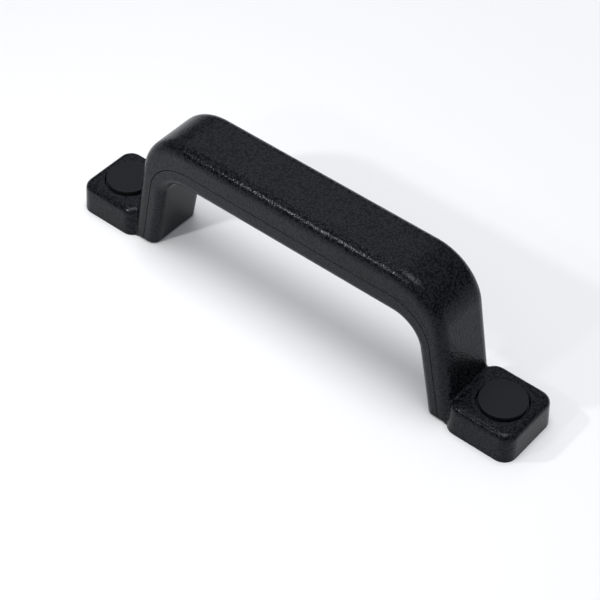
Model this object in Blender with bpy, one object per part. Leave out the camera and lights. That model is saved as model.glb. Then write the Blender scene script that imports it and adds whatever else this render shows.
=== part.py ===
"""Car door grab handle: a grained two-part moulding over a bent steel strap, screwed down at two feet.

Metres, +Z up. The origin is on the door's face, midway between the two screw holes.
+X runs along the grip and the door's face is the plane z = 0. "Left" is -X and "right" is +X.
"""

import math

import bmesh
import bpy
from mathutils import Matrix, Vector

MM = 0.001

# Overall shape
SCREW_CENTRES = 177.3 * MM
OVERALL_LENGTH = 203.8 * MM
GRIP_HEIGHT = 58.2 * MM
GRIP_WIDTH = 26.0 * MM
GRIP_DEPTH = 19.1 * MM
LEG_BASE_WIDTH = 25.0 * MM
LEG_BASE_Z = 0.8 * MM

# The leg's two faces where they would meet the door, their lean from upright, and the bends into the grip
LEG_OUTER_X = 77.4 * MM
LEG_INNER_X = 64.9 * MM
OUTER_LEAN = math.radians(11.7)
INNER_LEAN = math.radians(10.6)
OUTER_BEND = 21.3 * MM
INNER_BEND = 12.1 * MM
OUTER_EDGE_RADIUS = 4.5 * MM
INNER_EDGE_RADIUS = 3.6 * MM
BEND_STEPS = 7
EDGE_STEPS = 4

# The joint between cover and insert
SEAM_LEG_DEPTH = 5.8 * MM
SEAM_GRIP_DEPTH = 8.1 * MM
SEAM_BEND = 18.6 * MM
GAP = 0.3 * MM
COVER_WALL = 2.6 * MM
INSERT_WALL = 2.8 * MM
INSERT_FLOOR = 2.9 * MM

# Feet
FOOT_HEIGHT = 12.3 * MM
FOOT_INNER_X = 73.5 * MM
FOOT_WIDTH = 29.0 * MM
FOOT_CORNER = 5.2 * MM
FOOT_TOP_EDGE = 2.3 * MM
FOOT_DRAFT = math.radians(2.6)
FOOT_WALL = 3.0 * MM
FOOT_ROOF = 3.3 * MM
CORNER_DRAFT_SHARE = 0.5
LEG_ROOM = 5.0 * MM
CORNER_STEPS = 5

# Steel strap
STRAP_THICK = 2.4 * MM
STRAP_WIDTH = 16.0 * MM
STRAP_LIFT = 0.4 * MM
STRAP_FOOT_BEND = 5.0 * MM
STRAP_END_MARGIN = 8.4 * MM

# Screw stack, from the strap up
CAP_RADIUS = 8.9 * MM
CAP_PROUD = 1.3 * MM
CAP_DISC = 1.6 * MM
CAP_EDGE = 0.3 * MM
CAP_SKIRT_RADIUS = 7.9 * MM
CAP_SKIRT_WALL = 1.0 * MM
CAP_CLEARANCE = 0.7 * MM
SEAT_WALL = 1.0 * MM
SEAT_FLOOR = 1.2 * MM
SEAT_RIM_BELOW_TOP = 1.1 * MM
WASHER_RADIUS = 6.2 * MM
WASHER_THICK = 1.2 * MM
LOCK_RADIUS = 5.3 * MM
LOCK_THICK = 1.4 * MM
LOCK_SLIT = math.radians(9)
SCREW_RADIUS = 3.0 * MM
SCREW_LENGTH = 16.0 * MM
SCREW_HEAD_RADIUS = 5.7 * MM
SCREW_HEAD_HEIGHT = 3.6 * MM
SCREW_HEAD_STRAIGHT = 0.55
SCREW_HEAD_SHOULDER = (0.90, 0.82)
SCREW_HEAD_CROWN = 0.7
SCREW_POINT = (0.75, 0.4)
SCREW_RECESS_DEPTH = 2.1 * MM
SCREW_RECESS_WIDTH = 1.3 * MM

# Small screws that hold cover, strap and insert together
SHELL_SCREW_X = (-38 * MM, -13 * MM, 13 * MM, 38 * MM)
SHELL_SCREW_RADIUS = 1.6 * MM
SHELL_HEAD_RADIUS = 3.1 * MM
SHELL_HEAD_HEIGHT = 2.0 * MM
SHELL_HEAD_SUNK = 0.6 * MM
SHELL_HEAD_STRAIGHT = 0.45
SHELL_HEAD_CROWN = 0.7
SHELL_POINT = 0.3
SHELL_RECESS_DEPTH = 1.2 * MM
SHELL_RECESS_WIDTH = 0.8 * MM
BOSS_RADIUS = 3.6 * MM
BOSS_LENGTH = 7.4 * MM
TOWER_RADIUS = 6.0 * MM
PILOT_ROOF = 3.6 * MM

# Cross recess: its reach as a share of the head's radius, and how much its arms narrow towards the bottom
RECESS_REACH = 0.6
RECESS_TIP_LENGTH = 0.45
RECESS_TIP_WIDTH = 0.7
RECESS_OVERCUT = 0.2

GRIP_BOTTOM = GRIP_HEIGHT - GRIP_DEPTH
SCREW_X = SCREW_CENTRES / 2
STRAP_TOP = STRAP_LIFT + STRAP_THICK
FOOT_END_X = OVERALL_LENGTH / 2
ABOVE_FOOT = FOOT_HEIGHT * 1.5
ROUND_STEPS = 32
SMALL_ROUND_STEPS = 20
SHARP_ANGLE = math.radians(35)


# ---------------------------------------------------------------- helpers

def material(name, colour, roughness, metallic=0.0):
    mat = bpy.data.materials.new(name)
    mat.use_nodes = True
    shader = mat.node_tree.nodes["Principled BSDF"]
    shader.inputs["Base Color"].default_value = (*colour, 1.0)
    shader.inputs["Roughness"].default_value = roughness
    shader.inputs["Metallic"].default_value = metallic
    return mat


def add_object(name, bm, mat=None, location=(0, 0, 0)):
    bmesh.ops.recalc_face_normals(bm, faces=bm.faces)
    mesh = bpy.data.meshes.new(name)
    bm.to_mesh(mesh)
    bm.free()
    obj = bpy.data.objects.new(name, mesh)
    obj.location = location
    bpy.context.scene.collection.objects.link(obj)
    if mat:
        mesh.materials.append(mat)
    return obj


def combine(target, operation, *others):
    """Unites or cuts target with each other object in turn, and deletes the others."""
    for other in others:
        step = target.modifiers.new(operation.title(), "BOOLEAN")
        step.operation = operation
        step.object = other
        bpy.context.view_layer.update()
        result = target.evaluated_get(bpy.context.evaluated_depsgraph_get())
        mesh = bpy.data.meshes.new_from_object(result)
        target.modifiers.clear()
        target.data = mesh
        bpy.data.objects.remove(other, do_unlink=True)
    return target


def finish(obj):
    """Shades the round stretches smooth and keeps the corners sharp."""
    obj.data.shade_smooth()
    obj.data.set_sharp_from_angle(angle=SHARP_ANGLE)
    return obj


def loft(name, sections):
    """A closed solid through sections that all have the same number of points."""
    bm = bmesh.new()
    rings = [[bm.verts.new(point) for point in section] for section in sections]
    count = len(rings[0])
    for ring, following in zip(rings, rings[1:]):
        for i in range(count):
            j = (i + 1) % count
            bm.faces.new((ring[i], ring[j], following[j], following[i]))
    bm.faces.new(rings[0])
    bm.faces.new(rings[-1])
    return add_object(name, bm)


def turned(name, profile, steps, mat=None, location=(0, 0, 0)):
    """A ring or a solid of revolution about local Z, from a closed profile of (radius, z) points.

    A point on the axis becomes one vertex, so a profile that starts and ends on the axis is solid.
    """
    bm = bmesh.new()
    rings = []
    for radius, z in profile:
        if radius == 0:
            rings.append([bm.verts.new((0, 0, z))] * steps)
            continue
        turns = [math.tau * k / steps for k in range(steps)]
        rings.append([bm.verts.new((radius * math.cos(t), radius * math.sin(t), z)) for t in turns])
    pairs = list(zip(rings, rings[1:]))
    if profile[0][0] > 0:
        pairs.append((rings[-1], rings[0]))
    for ring, following in pairs:
        for k in range(steps):
            n = (k + 1) % steps
            corners = dict.fromkeys((ring[k], ring[n], following[n], following[k]))
            if len(corners) > 2:
                bm.faces.new(tuple(corners))
    return add_object(name, bm, mat, location)


def rods(places, steps, *levels):
    """Upright stepped cylinders, one at each x in places, used to cut or to add.

    Each level is (radius, bottom, top), from the lowest up.
    """
    profile = [(0, levels[0][1])]
    for radius, bottom, top in levels:
        profile += [(radius, bottom), (radius, top)]
    profile.append((0, levels[-1][2]))
    bm = bmesh.new()
    for x in places:
        one = turned("rod", profile, steps)
        one.data.transform(Matrix.Translation((x, 0, 0)))
        bm.from_mesh(one.data)
        bpy.data.objects.remove(one, do_unlink=True)
    return add_object("rods", bm)


def block(low, high):
    bm = bmesh.new()
    bmesh.ops.create_cube(bm, size=1.0)
    size = Vector(high) - Vector(low)
    middle = (Vector(high) + Vector(low)) / 2
    bm.transform(Matrix.Translation(middle) @ Matrix.Diagonal((*size, 1)))
    return add_object("block", bm)


# ---------------------------------------------------------------- the handle's side view

def leg_line(base_x, lean, top_z, bend, base_z=LEG_BASE_Z):
    """Points (x, z) up the right leg's line and round its bend, which ends flat at top_z."""
    centre_z = top_z - bend
    centre_x = base_x - centre_z * math.tan(lean) - bend / math.cos(lean)
    points = [(base_x - z * math.tan(lean), z) for z in (base_z, FOOT_HEIGHT)]
    for k in range(BEND_STEPS):
        turn = lean + (math.pi / 2 - lean) * k / (BEND_STEPS - 1)
        points.append((centre_x + bend * math.cos(turn), centre_z + bend * math.sin(turn)))
    return points


def whole(points):
    """The right half's points and their mirror image, from the right foot over to the left foot."""
    return points + [(-x, z) for x, z in reversed(points)]


def outer_line(inset=0.0):
    shift = inset / math.cos(OUTER_LEAN)
    return whole(leg_line(LEG_OUTER_X - shift, OUTER_LEAN, GRIP_HEIGHT - inset, OUTER_BEND - inset))


def inner_line():
    return whole(leg_line(LEG_INNER_X, INNER_LEAN, GRIP_BOTTOM, INNER_BEND))


def seam_line(inset=0.0):
    """The joint's line, or a line that lies inset from it on the insert's side."""
    base_x = LEG_INNER_X + (SEAM_LEG_DEPTH - inset) / math.cos(INNER_LEAN)
    top_z = GRIP_BOTTOM + SEAM_GRIP_DEPTH - inset
    return whole(leg_line(base_x, INNER_LEAN, top_z, SEAM_BEND - inset))


def half_widths():
    """Half the moulding's width at each station: the leg widens a little from its base up to the bend."""
    base, full = LEG_BASE_WIDTH / 2, GRIP_WIDTH / 2
    near_foot = base + (full - base) * FOOT_HEIGHT / (GRIP_HEIGHT - OUTER_BEND)
    half = [base, near_foot] + [full] * BEND_STEPS
    return half + half[::-1]


def channel_section(root, far, half_width, wall, floor, edge_radius):
    """A U-shaped section with rounded edges: its side walls end at root, its floor's outside is at far."""
    root, far = Vector((root[0], 0, root[1])), Vector((far[0], 0, far[1]))
    depth = (far - root).length
    outward = (far - root).normalized()
    centre_y, centre_t = half_width - edge_radius, depth - edge_radius
    half = [(half_width, 0.0)]
    for k in range(EDGE_STEPS + 1):
        turn = math.pi / 2 * k / EDGE_STEPS
        half.append((centre_y + edge_radius * math.cos(turn), centre_t + edge_radius * math.sin(turn)))
    outside = half + [(-y, t) for y, t in reversed(half)]
    groove = half_width - wall
    inside = [(-groove, 0.0), (-groove, depth - floor), (groove, depth - floor), (groove, 0.0)]
    return [root + outward * t + Vector((0, y, 0)) for y, t in outside + inside]


# ---------------------------------------------------------------- pieces

def foot_ring(inset, z):
    """The foot's rounded plan outline at height z, drawn in by inset all round."""
    low_x, high_x = FOOT_INNER_X + inset, FOOT_END_X - inset
    half_y = FOOT_WIDTH / 2 - inset
    radius = FOOT_CORNER - inset * CORNER_DRAFT_SHARE
    corners = ((high_x - radius, half_y - radius), (low_x + radius, half_y - radius),
               (low_x + radius, radius - half_y), (high_x - radius, radius - half_y))
    points = []
    for quarter, (x, y) in enumerate(corners):
        for k in range(CORNER_STEPS + 1):
            turn = math.pi / 2 * (quarter + k / CORNER_STEPS)
            points.append((x + radius * math.cos(turn), y + radius * math.sin(turn), z))
    return points


def foot_block():
    """The right foot's outside: slightly drafted sides and a rounded top edge."""
    side_top = FOOT_HEIGHT - FOOT_TOP_EDGE
    drawn_in = side_top * math.tan(FOOT_DRAFT)
    rings = [foot_ring(0, 0)]
    for k in range(EDGE_STEPS + 1):
        turn = math.pi / 2 * k / EDGE_STEPS
        inset = drawn_in + FOOT_TOP_EDGE * (1 - math.cos(turn))
        rings.append(foot_ring(inset, side_top + FOOT_TOP_EDGE * math.sin(turn)))
    return loft("foot", rings)


def mirrored(obj):
    """A copy of obj on the other side of the handle's middle."""
    bm = bmesh.new()
    bm.from_mesh(obj.data)
    bm.transform(Matrix.Translation(obj.location))
    bm.transform(Matrix.Scale(-1, 4, (1, 0, 0)))
    return add_object("mirrored", bm)


def grip_cover(mat):
    """The upper moulding: grip top and sides, the legs' outer faces and both hollow feet."""
    sections = [channel_section(s, o, w, COVER_WALL, COVER_WALL, OUTER_EDGE_RADIUS)
                for s, o, w in zip(seam_line(), outer_line(), half_widths())]
    cover = loft("grip_cover", sections)
    foot = foot_block()
    combine(cover, "UNION", mirrored(foot), foot)

    groove = LEG_BASE_WIDTH / 2 - COVER_WALL
    under_roof = FOOT_HEIGHT - FOOT_ROOF
    room = block((LEG_INNER_X, -groove, -GAP), (FOOT_INNER_X + LEG_ROOM, groove, under_roof))
    end_x, half_y = FOOT_END_X - FOOT_WALL, FOOT_WIDTH / 2 - FOOT_WALL
    pocket = block((FOOT_INNER_X + FOOT_WALL, -half_y, -GAP), (end_x, half_y, under_roof))
    cap_hole = rods([SCREW_X], ROUND_STEPS, (CAP_RADIUS + CAP_CLEARANCE, FOOT_WALL, ABOVE_FOOT))
    combine(room, "UNION", pocket, cap_hole)
    combine(cover, "DIFFERENCE", mirrored(room), room)

    ceiling = GRIP_HEIGHT - COVER_WALL
    bosses = (BOSS_RADIUS, ceiling - BOSS_LENGTH, ceiling + GAP)
    pilots = (SHELL_SCREW_RADIUS + GAP, GRIP_BOTTOM, GRIP_HEIGHT - PILOT_ROOF)
    combine(cover, "UNION", rods(SHELL_SCREW_X, SMALL_ROUND_STEPS, bosses))
    combine(cover, "DIFFERENCE", rods(SHELL_SCREW_X, SMALL_ROUND_STEPS, pilots))
    cover.data.materials.clear()
    cover.data.materials.append(mat)
    return finish(cover)


def grip_insert(mat):
    """The lower moulding that closes the grip and the legs on the finger side, with its screw towers."""
    sections = [channel_section(s, i, w, INSERT_WALL, INSERT_FLOOR, INNER_EDGE_RADIUS)
                for s, i, w in zip(seam_line(GAP), inner_line(), half_widths())]
    insert = loft("grip_insert", sections)
    strap_under = GRIP_HEIGHT - COVER_WALL - GAP - STRAP_THICK
    boss_end = GRIP_HEIGHT - COVER_WALL - BOSS_LENGTH
    head_seat = GRIP_BOTTOM + SHELL_HEAD_SUNK + SHELL_HEAD_HEIGHT + GAP
    towers = (TOWER_RADIUS, GRIP_BOTTOM + GAP, strap_under - GAP)
    combine(insert, "UNION", rods(SHELL_SCREW_X, SMALL_ROUND_STEPS, towers))
    sunk_head = (SHELL_HEAD_RADIUS + GAP, FOOT_HEIGHT, head_seat)
    shank = (SHELL_SCREW_RADIUS + GAP, head_seat, boss_end - GAP)
    boss = (BOSS_RADIUS + GAP, boss_end - GAP, GRIP_HEIGHT)
    combine(insert, "DIFFERENCE", rods(SHELL_SCREW_X, SMALL_ROUND_STEPS, sunk_head, shank, boss))
    insert.data.materials.clear()
    insert.data.materials.append(mat)
    return finish(insert)


def strap_path():
    """The strap's centre line: along one foot, up the leg, over the grip and down to the other foot."""
    inset = COVER_WALL + GAP + STRAP_THICK / 2
    base_x = LEG_OUTER_X - inset / math.cos(OUTER_LEAN)
    leg = leg_line(base_x, OUTER_LEAN, GRIP_HEIGHT - inset, OUTER_BEND - inset)
    foot_z = STRAP_LIFT + STRAP_THICK / 2
    centre_z = foot_z + STRAP_FOOT_BEND
    centre_x = base_x - centre_z * math.tan(OUTER_LEAN) + STRAP_FOOT_BEND / math.cos(OUTER_LEAN)
    points = [(SCREW_X + STRAP_END_MARGIN, foot_z)]
    for k in range(BEND_STEPS):
        turn = math.pi / 2 - (math.pi / 2 - OUTER_LEAN) * k / (BEND_STEPS - 1)
        x = centre_x - STRAP_FOOT_BEND * math.cos(turn)
        z = centre_z - STRAP_FOOT_BEND * math.sin(turn)
        points.append((x, z))
    return [Vector((x, 0, z)) for x, z in whole(points + leg[2:])]


def mitre(points, k):
    """Half the strap's thickness across its path at point k, lengthened where the path bends."""
    leaving = (points[k + 1] - points[k]).normalized() if k < len(points) - 1 else None
    arriving = (points[k] - points[k - 1]).normalized() if k else leaving
    leaving = leaving or arriving
    along = (arriving + leaving).normalized()
    return Vector((-along.z, 0, along.x)) * (STRAP_THICK / 2 / along.dot(leaving))


def core_strap(mat):
    """The bent spring-steel strap with its screw holes and its clearance holes."""
    points = strap_path()
    side = Vector((0, STRAP_WIDTH / 2, 0))
    sections = []
    for k, point in enumerate(points):
        across = mitre(points, k)
        over, under = point + across, point - across
        sections.append([over + side, over - side, under - side, under + side])
    strap = loft("core_strap", sections)
    boss_holes = (BOSS_RADIUS + GAP, GRIP_BOTTOM, GRIP_HEIGHT)
    screw_holes = (SCREW_RADIUS + GAP, -FOOT_HEIGHT, FOOT_HEIGHT)
    combine(strap, "DIFFERENCE", rods(SHELL_SCREW_X, SMALL_ROUND_STEPS, boss_holes))
    combine(strap, "DIFFERENCE", rods((-SCREW_X, SCREW_X), SMALL_ROUND_STEPS, screw_holes))
    strap.data.materials.clear()
    strap.data.materials.append(mat)
    return finish(strap)


def screw_cap(side, x, mat):
    """A flat disc with a softened rim, on a skirt that grips inside its seat."""
    top = FOOT_HEIGHT + CAP_PROUD
    under = top - CAP_DISC
    inner = CAP_SKIRT_RADIUS - CAP_SKIRT_WALL
    skirt_end = STRAP_TOP + GAP + SEAT_FLOOR + 3 * GAP
    profile = ((0, top), (CAP_RADIUS - CAP_EDGE, top), (CAP_RADIUS, top - CAP_EDGE), (CAP_RADIUS, under),
               (CAP_SKIRT_RADIUS, under), (CAP_SKIRT_RADIUS, skirt_end + CAP_EDGE),
               (CAP_SKIRT_RADIUS - CAP_EDGE, skirt_end), (inner, skirt_end), (inner, under), (0, under))
    return finish(turned(f"screw_cap_{side}", profile, ROUND_STEPS, mat, (x, 0, 0)))


def cap_seat(side, x, mat):
    """The cup under the screw's washer that holds the cap."""
    low = STRAP_TOP + GAP
    rim = FOOT_HEIGHT - SEAT_RIM_BELOW_TOP
    bore = SCREW_RADIUS + 2 * GAP
    inner = CAP_SKIRT_RADIUS + GAP
    outer = inner + SEAT_WALL
    floor = low + SEAT_FLOOR
    profile = ((bore, low), (outer, low), (outer, rim), (inner, rim), (inner, floor), (bore, floor))
    return finish(turned(f"cap_seat_{side}", profile, ROUND_STEPS, mat, (x, 0, 0)))


def plain_washer(side, x, mat):
    low = STRAP_TOP + 2 * GAP + SEAT_FLOOR
    bore = SCREW_RADIUS + GAP
    high = low + WASHER_THICK
    profile = ((bore, low), (WASHER_RADIUS, low), (WASHER_RADIUS, high), (bore, high))
    return finish(turned(f"plain_washer_{side}", profile, ROUND_STEPS, mat, (x, 0, 0)))


def lock_washer(side, x, mat):
    """A split spring ring, its two ends a little apart."""
    low = STRAP_TOP + 3 * GAP + SEAT_FLOOR + WASHER_THICK
    high = low + LOCK_THICK
    bore = SCREW_RADIUS + GAP
    sections = []
    for k in range(ROUND_STEPS + 1):
        turn = LOCK_SLIT / 2 + (math.tau - LOCK_SLIT) * k / ROUND_STEPS
        reach = Vector((math.cos(turn), math.sin(turn), 0))
        corners = ((bore, low), (LOCK_RADIUS, low), (LOCK_RADIUS, high), (bore, high))
        sections.append([reach * radius + Vector((0, 0, z)) for radius, z in corners])
    ring = loft(f"lock_washer_{side}", sections)
    ring.location = (x, 0, 0)
    ring.data.materials.append(mat)
    return finish(ring)


def recess_bar(arm, depth, width, turn):
    """One bar of a cross recess, narrower at its bottom, turned about local Z. depth < 0 cuts upwards."""
    bm = bmesh.new()
    bmesh.ops.create_cube(bm, size=1.0)
    for vert in bm.verts:
        deep = (vert.co.z < 0) == (depth > 0)
        vert.co.x *= 2 * arm * (RECESS_TIP_LENGTH if deep else 1.0)
        vert.co.y *= width * (RECESS_TIP_WIDTH if deep else 1.0)
        vert.co.z = -depth if deep else depth * RECESS_OVERCUT
    bm.transform(Matrix.Rotation(turn, 4, "Z"))
    return add_object("recess", bm)


def cross_recess(x, face_z, head, depth, width):
    """A cross-shaped cutter for a screw's drive, set on the head's face. depth < 0 cuts upwards."""
    arm = head * RECESS_REACH
    cutter = recess_bar(arm, depth, width, 0.0)
    combine(cutter, "UNION", recess_bar(arm, depth, width, math.pi / 2))
    cutter.location = (x, 0, face_z)
    return cutter


def mounting_screw(side, x, mat):
    """A pan-head machine screw, seated on its washers, that runs on into the door."""
    seat = STRAP_TOP + 4 * GAP + SEAT_FLOOR + WASHER_THICK + LOCK_THICK
    top = seat + SCREW_HEAD_HEIGHT
    tip = seat - SCREW_LENGTH
    head, shank = SCREW_HEAD_RADIUS, SCREW_RADIUS
    point_radius, point_length = SCREW_POINT
    shoulder_radius, shoulder_height = SCREW_HEAD_SHOULDER
    profile = ((0, tip), (shank * point_radius, tip), (shank, tip + shank * point_length), (shank, seat),
               (head, seat), (head, seat + SCREW_HEAD_HEIGHT * SCREW_HEAD_STRAIGHT),
               (head * shoulder_radius, seat + SCREW_HEAD_HEIGHT * shoulder_height),
               (head * SCREW_HEAD_CROWN, top), (0, top))
    screw = turned(f"mounting_screw_{side}", profile, SMALL_ROUND_STEPS, mat, (x, 0, 0))
    recess = cross_recess(x, top, head, SCREW_RECESS_DEPTH, SCREW_RECESS_WIDTH)
    return finish(combine(screw, "DIFFERENCE", recess))


def shell_screw(number, x, mat):
    """A small self-tapping screw, head down in the insert, threaded into the cover's boss."""
    low = GRIP_BOTTOM + SHELL_HEAD_SUNK
    seat = low + SHELL_HEAD_HEIGHT
    tip = GRIP_HEIGHT - PILOT_ROOF - GAP * 2
    head, shank = SHELL_HEAD_RADIUS, SHELL_SCREW_RADIUS
    crown = low + SHELL_HEAD_HEIGHT * SHELL_HEAD_STRAIGHT
    profile = ((0, low), (head * SHELL_HEAD_CROWN, low), (head, crown), (head, seat), (shank, seat),
               (shank, tip - shank), (shank * SHELL_POINT, tip), (0, tip))
    screw = turned(f"shell_screw_{number}", profile, SMALL_ROUND_STEPS, mat, (x, 0, 0))
    recess = cross_recess(x, low, head, -SHELL_RECESS_DEPTH, SHELL_RECESS_WIDTH)
    return finish(combine(screw, "DIFFERENCE", recess))


def main():
    for obj in list(bpy.data.objects):
        bpy.data.objects.remove(obj, do_unlink=True)
    grip_cover(material("grained_black_cover", (0.018, 0.018, 0.021), 0.45))
    grip_insert(material("grained_black_insert", (0.020, 0.020, 0.023), 0.48))
    core_strap(material("spring_steel", (0.30, 0.30, 0.31), 0.40, 1.0))
    for side, x in (("left", -SCREW_X), ("right", SCREW_X)):
        screw_cap(side, x, material(f"cap_black_{side}", (0.026, 0.027, 0.030), 0.50))
        cap_seat(side, x, material(f"seat_black_{side}", (0.015, 0.015, 0.016), 0.55))
        plain_washer(side, x, material(f"zinc_washer_{side}", (0.62, 0.62, 0.60), 0.32, 1.0))
        lock_washer(side, x, material(f"dark_spring_steel_{side}", (0.24, 0.24, 0.25), 0.35, 1.0))
        mounting_screw(side, x, material(f"zinc_screw_{side}", (0.60, 0.60, 0.58), 0.30, 1.0))
    for number, x in enumerate(SHELL_SCREW_X, start=1):
        shell_screw(number, x, material(f"black_screw_{number}", (0.06, 0.06, 0.065), 0.38, 1.0))


main()
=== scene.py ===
"""The look of the car door grab handle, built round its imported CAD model.

Metres, +Z up. The door's face is the plane z = 0, the grip runs along X, and the handle is the same at +X
and at -X. Each piece here is a finer form of one CAD node and takes that node's place.
"""

import math

import bmesh
import bpy
from mathutils import Matrix, Vector


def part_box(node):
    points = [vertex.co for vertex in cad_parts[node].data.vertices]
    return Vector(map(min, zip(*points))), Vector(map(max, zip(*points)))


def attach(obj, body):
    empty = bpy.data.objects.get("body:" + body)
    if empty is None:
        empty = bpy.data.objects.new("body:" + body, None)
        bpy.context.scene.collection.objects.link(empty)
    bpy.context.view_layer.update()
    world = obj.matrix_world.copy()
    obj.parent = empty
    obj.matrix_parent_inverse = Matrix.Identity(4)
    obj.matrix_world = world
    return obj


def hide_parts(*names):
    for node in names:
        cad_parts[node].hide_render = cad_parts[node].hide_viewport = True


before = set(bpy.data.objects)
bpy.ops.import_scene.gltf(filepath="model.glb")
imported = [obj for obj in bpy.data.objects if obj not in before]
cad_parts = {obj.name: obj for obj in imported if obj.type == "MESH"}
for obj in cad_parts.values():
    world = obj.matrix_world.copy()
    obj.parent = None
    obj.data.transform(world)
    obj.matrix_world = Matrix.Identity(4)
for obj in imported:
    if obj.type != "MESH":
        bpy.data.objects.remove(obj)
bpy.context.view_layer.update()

MM = 0.001
WHITE = (1.0, 1.0, 1.0)

# Overall shape
GRIP_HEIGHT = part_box("grip_cover")[1].z
FOOT_END_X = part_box("grip_cover")[1].x
FOOT_HALF_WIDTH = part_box("grip_cover")[1].y
GRIP_HALF_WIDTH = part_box("grip_insert")[1].y
SCREW_X = sum(corner.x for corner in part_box("screw_cap_right")) / 2
GRIP_DEPTH = 19.1 * MM
LEG_BASE_HALF_WIDTH = 12.5 * MM
LEG_BASE_Z = 0.8 * MM
FOOT_HEIGHT = 12.3 * MM

# The leg's two faces where they would meet the door, their lean from upright, and the bends into the grip
LEG_OUTER_X = 77.4 * MM
LEG_INNER_X = 64.9 * MM
OUTER_LEAN = math.radians(11.7)
INNER_LEAN = math.radians(10.6)
OUTER_BEND = 21.3 * MM
INNER_BEND = 12.1 * MM
OUTER_EDGE_RADIUS = 4.5 * MM
INNER_EDGE_RADIUS = 3.6 * MM
BEND_STEPS = 25
EDGE_STEPS = 9

# The joint between cover and insert
SEAM_LEG_DEPTH = 5.8 * MM
SEAM_GRIP_DEPTH = 8.1 * MM
SEAM_BEND = 18.6 * MM
SEAM_MARGIN = 2.0 * MM
GAP = 0.3 * MM
COVER_WALL = 2.6 * MM
LIP_WALL = 0.7 * MM
LIP_HEIGHT = 1.2 * MM
INSERT_FLOOR = 2.9 * MM

# Feet
FOOT_INNER_X = 73.5 * MM
FOOT_CORNER = 5.2 * MM
FOOT_TOP_EDGE = 2.3 * MM
FOOT_DRAFT = math.radians(2.6)
FOOT_WALL = 3.0 * MM
FOOT_ROOF = 3.3 * MM
CORNER_DRAFT_SHARE = 0.5
CORNER_STEPS = 10
LEG_ROOM = 5.0 * MM
HOLE_LIP = 0.12 * MM

# Moulded skin: the grid it is drawn on and how far its corners soften
SKIN_GRID = 0.45 * MM
SKIN_PASSES = 5
SKIN_SOFTENING = 0.5
SKIN_SPARE = 1.5 * MM

# Screw stack
CAP_CLEARANCE = 0.7 * MM
CAP_DISC = 1.6 * MM
CAP_RIM = 0.32 * MM
CAP_SKIRT_RADIUS = 7.9 * MM
CAP_SKIRT_WALL = 1.0 * MM
CAP_SLOT = 1.6 * MM
CAP_SLOT_ROOF = 0.8 * MM
CAP_BEAD = 0.12 * MM
CAP_BEAD_RISE = 0.5 * MM
CAP_BEAD_HEIGHT = 1.0 * MM
CAP_EDGE_STEPS = 6
FINE_EDGE = 0.12 * MM
WASHER_EDGE = 0.3 * MM
SEAT_WALL = 1.0 * MM
SEAT_FLOOR = 1.2 * MM
LOCK_SLIT = math.radians(9)
LOCK_RISE = 0.2 * MM
SCREW_RADIUS = 3.0 * MM
SCREW_PITCH = 1.0 * MM
SCREW_THREAD = 0.55 * MM
SCREW_HEAD_HEIGHT = 3.6 * MM
SCREW_HEAD_STRAIGHT = 0.6
SCREW_HEAD_CROWN = 0.66
SCREW_HEAD_ROUND = 1.3 * MM
SCREW_UNDERCUT = 0.4 * MM
SCREW_RECESS_DEPTH = 2.1 * MM
SCREW_RECESS_WIDTH = 1.3 * MM

# Cross recess: its reach as a share of the head's radius, and how much its arms narrow towards the bottom
RECESS_REACH = 0.6
RECESS_TIP_LENGTH = 0.45
RECESS_TIP_WIDTH = 0.7
RECESS_OVERCUT = 0.2

# Thread: the tip's size, the turns it takes to reach full size, and how blunt the crest is
TIP_SHARE = 0.55
TIP_TURNS = 1.5
CREST_FLAT = 1.25

# Strap
STRAP_THICK = 2.4 * MM
STRAP_LIFT = 0.4 * MM
STRAP_FOOT_BEND = 5.0 * MM
STRAP_END_MARGIN = 8.4 * MM
STRAP_EDGE = 0.4 * MM

# Small screws that hold cover, strap and insert together
SHELL_SCREW_X = (-38 * MM, -13 * MM, 13 * MM, 38 * MM)
SHELL_SCREW_RADIUS = 1.6 * MM
SHELL_THREAD = 0.4 * MM
SHELL_PITCH = 1.25 * MM
SHELL_HEAD_RADIUS = 3.1 * MM
SHELL_HEAD_HEIGHT = 2.0 * MM
SHELL_HEAD_SUNK = 0.6 * MM
SHELL_HEAD_STRAIGHT = 0.45
SHELL_HEAD_CROWN = 0.7
SHELL_HEAD_ROUND = 0.6 * MM
SHELL_UNDERCUT = 0.3 * MM
SHELL_RECESS_DEPTH = 1.2 * MM
SHELL_RECESS_WIDTH = 0.8 * MM
BOSS_RADIUS = 3.6 * MM
BOSS_LENGTH = 7.4 * MM
TOWER_RADIUS = 6.0 * MM
PILOT_ROOF = 3.6 * MM

GRIP_BOTTOM = GRIP_HEIGHT - GRIP_DEPTH
CUTTER_REACH = 5.0 * MM
ROUND_STEPS = 96
SMALL_ROUND_STEPS = 40
THREAD_STEPS = 8
SHARP_ANGLE = math.radians(32)
ROUNDING_LIMIT = 0.49


# ---------------------------------------------------------------- mesh helpers

def add_object(name, bm):
    bmesh.ops.recalc_face_normals(bm, faces=bm.faces)
    mesh = bpy.data.meshes.new(name)
    bm.to_mesh(mesh)
    bm.free()
    obj = bpy.data.objects.new(name, mesh)
    bpy.context.scene.collection.objects.link(obj)
    return obj


def apply_modifiers(obj):
    bpy.context.view_layer.update()
    result = obj.evaluated_get(bpy.context.evaluated_depsgraph_get())
    mesh = bpy.data.meshes.new_from_object(result)
    obj.modifiers.clear()
    obj.data = mesh
    return obj


def combine(target, operation, *others, solver="EXACT"):
    """Unites or cuts target with each other object in turn, and deletes the others."""
    for other in others:
        step = target.modifiers.new(operation.title(), "BOOLEAN")
        step.operation = operation
        step.solver = solver
        step.object = other
        apply_modifiers(target)
        bpy.data.objects.remove(other, do_unlink=True)
    return target


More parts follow.
